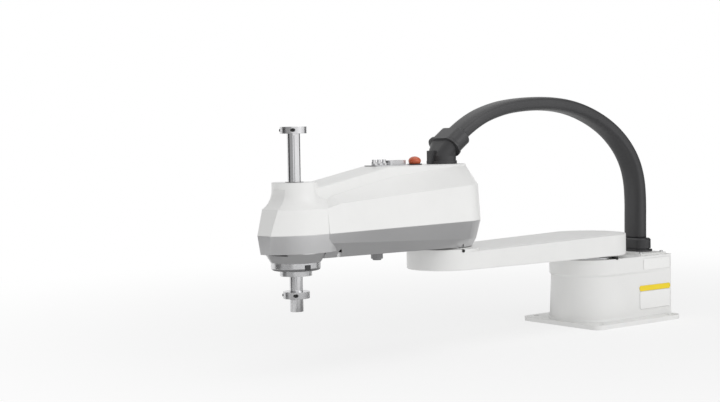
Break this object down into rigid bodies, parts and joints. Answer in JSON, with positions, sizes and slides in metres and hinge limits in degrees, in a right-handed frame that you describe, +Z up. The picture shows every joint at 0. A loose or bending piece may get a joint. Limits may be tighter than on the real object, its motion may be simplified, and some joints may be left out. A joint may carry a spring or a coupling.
{
  "type": "scara robot",
  "caption": "Four-axis SCARA robot with a bolted base, two jointed arms, a splined tool shaft and an arched cable duct over the elbow.",
  "frame": {"origin": "shoulder axis at the base's mounting plane", "axes": "+X along the inner arm at rest, towards the tool; +Z up along the shoulder axis"},
  "size_m": [0.9352, 0.2062, 0.4126],
  "materials": {
    "white_paint": "satin",
    "white_cover": "satin",
    "grey_casting": "satin",
    "steel": "polished",
    "black_steel": "satin",
    "black_plastic": "matte",
    "duct": "matte",
    "belt": "matte",
    "lamp_orange": "gloss",
    "button_grey": "matte"
  },
  "bodies": {
    "base": {"base_housing": "white_paint", "shoulder_reducer": "steel", "shoulder_motor": "black_steel", "shoulder_stop_pin": "black_steel", "rear_panel": "white_paint", "panel_screws": "steel", "rear_sockets": "black_plastic", "rear_air_fittings": "steel", "duct_plate": "white_paint", "duct_plate_screws": "steel", "base_duct_fitting": "black_plastic", "cable_duct": "duct"},
    "arm_1": {"arm_1_casting": "white_paint", "shoulder_output_flange": "grey_casting", "elbow_reducer": "steel", "elbow_stop_pin": "black_steel"},
    "arm_2": {"arm_2_casting": "grey_casting", "arm_2_cover": "white_cover", "cover_screws": "steel", "elbow_output_flange": "grey_casting", "elbow_motor": "black_steel", "motor_plate": "grey_casting", "lift_motor": "black_steel", "roll_motor": "black_steel", "lift_belt": "belt", "roll_belt": "belt", "ball_nut_bearing": "steel", "lower_nut_bearing": "steel", "upper_nut_bearing": "steel", "nut_housing": "grey_casting", "nut_cap": "grey_casting", "home_sensor": "black_plastic", "shaft_seal": "belt", "connector_plate": "grey_casting", "air_fittings": "steel", "signal_socket": "steel", "lamp_base": "black_plastic", "status_lamp": "lamp_orange", "button_bezel": "button_grey"},
    "duct_swivel": {"duct_elbow": "black_plastic", "duct_nut": "black_plastic"},
    "roll_nut": {"spline_nut": "steel"},
    "shaft": {"tool_shaft": "steel", "top_stop_collar": "steel", "lower_stop_collar": "steel", "collar_screws": "steel"},
    "lift_nut": {"ball_nut": "steel"},
    "lift_pulley": {"lift_motor_pulley": "steel"},
    "roll_pulley": {"roll_motor_pulley": "steel"},
    "button": {"brake_button": "button_grey"}
  },
  "joints": [
    {"name": "shoulder", "type": "hinge", "parent": "base", "child": "arm_1", "pos_m": [0, 0, 0.122], "axis": [0, 0, 1], "range_deg": [-130, 130], "deforming": ["cable_duct"]},
    {"name": "elbow", "type": "hinge", "parent": "arm_1", "child": "arm_2", "pos_m": [0.35, 0, 0.1614], "axis": [0, 0, 1], "range_deg": [-155.3, 134.7]},
    {"name": "duct_turn", "type": "hinge", "parent": "arm_2", "child": "duct_swivel", "pos_m": [0.35, 0, 0.3], "axis": [0, 0, 1], "range_deg": [-136, 157]},
    {"name": "tool_roll", "type": "hinge", "parent": "arm_2", "child": "roll_nut", "pos_m": [0.69436, 0.06258, 0.17], "axis": [0, 0, 1], "range_deg": [-360, 360]},
    {"name": "tool_lift", "type": "slide", "parent": "roll_nut", "child": "shaft", "axis": [0, 0, 1], "range_m": [-0.071, 0.022]},
    {"name": "lift_nut_turn", "type": "hinge", "parent": "arm_2", "child": "lift_nut", "pos_m": [0.69436, 0.06258, 0.22], "axis": [0, 0, 1], "range_deg": [-400, 1290]},
    {"name": "lift_pulley_turn", "type": "hinge", "parent": "arm_2", "child": "lift_pulley", "pos_m": [0.50742, 0.02861, 0.205], "axis": [0, 0, 1], "range_deg": [-670, 2150]},
    {"name": "roll_pulley_turn", "type": "hinge", "parent": "arm_2", "child": "roll_pulley", "pos_m": [0.60778, 0.04685, 0.19], "axis": [0, 0, 1], "range_deg": [-605, 605]},
    {"name": "button_press", "type": "slide", "parent": "arm_2", "child": "button", "axis": [0, 0, 1], "range_m": [0, 0.002], "stiffness_N_per_m": 400, "springref_m": -0.002}
  ],
  "couplings": [
    {"joint": "duct_turn", "follows": "elbow", "ratio": -1},
    {"joint": "lift_nut_turn", "follows": "tool_lift", "rad_per_m": -314.16},
    {"joint": "lift_pulley_turn", "follows": "tool_lift", "rad_per_m": -523.6},
    {"joint": "roll_pulley_turn", "follows": "tool_roll", "ratio": 1.6667}
  ]
}
